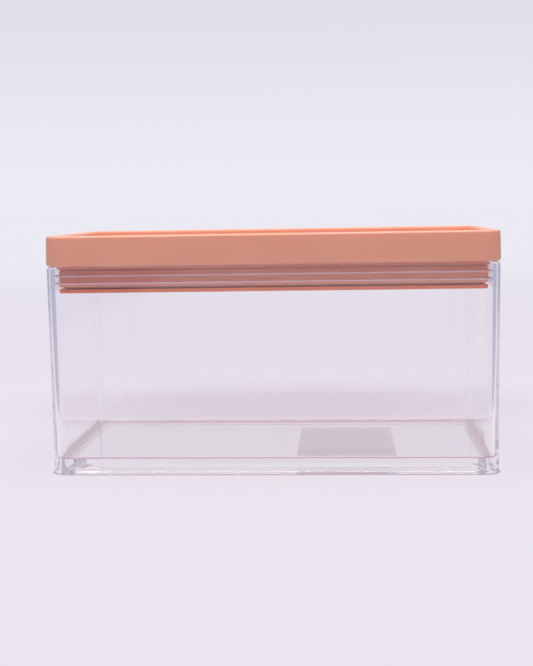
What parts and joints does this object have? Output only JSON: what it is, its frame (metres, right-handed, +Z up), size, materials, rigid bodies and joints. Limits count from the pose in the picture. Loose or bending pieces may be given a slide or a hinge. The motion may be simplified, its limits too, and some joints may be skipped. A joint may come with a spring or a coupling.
{
  "type": "food storage container",
  "caption": "Clear rectangular dry-food box with thick walls and a foot rim, closed by a flush peach tray lid whose plug carries a two-fin silicone seal.",
  "frame": {"origin": "middle of the base, on the surface that the foot rim stands on", "axes": "+X along the container's length, +Y along its depth towards the back, +Z up, the way the lid lifts"},
  "size_m": [0.2, 0.1, 0.1064],
  "materials": {
    "clear_body": "clear polished styrene, with a faint cool tint",
    "peach_lid": "satin moulded plastic, peach",
    "peach_plate": "satin moulded plastic, peach",
    "silicone": "milky translucent silicone",
    "label_paper": "matt paper, bare, in two pale tones"
  },
  "bodies": {
    "container": {"container_body": "clear_body", "base_label": "label_paper"},
    "lid": {"lid_cap": "peach_lid", "lid_inner_plate": "peach_plate", "seal_ring": "silicone"}
  },
  "joints": [
    {"name": "lid_lift", "type": "slide", "parent": "container", "child": "lid", "axis": [0, 0, 1], "range_m": [0, 0.1]}
  ]
}
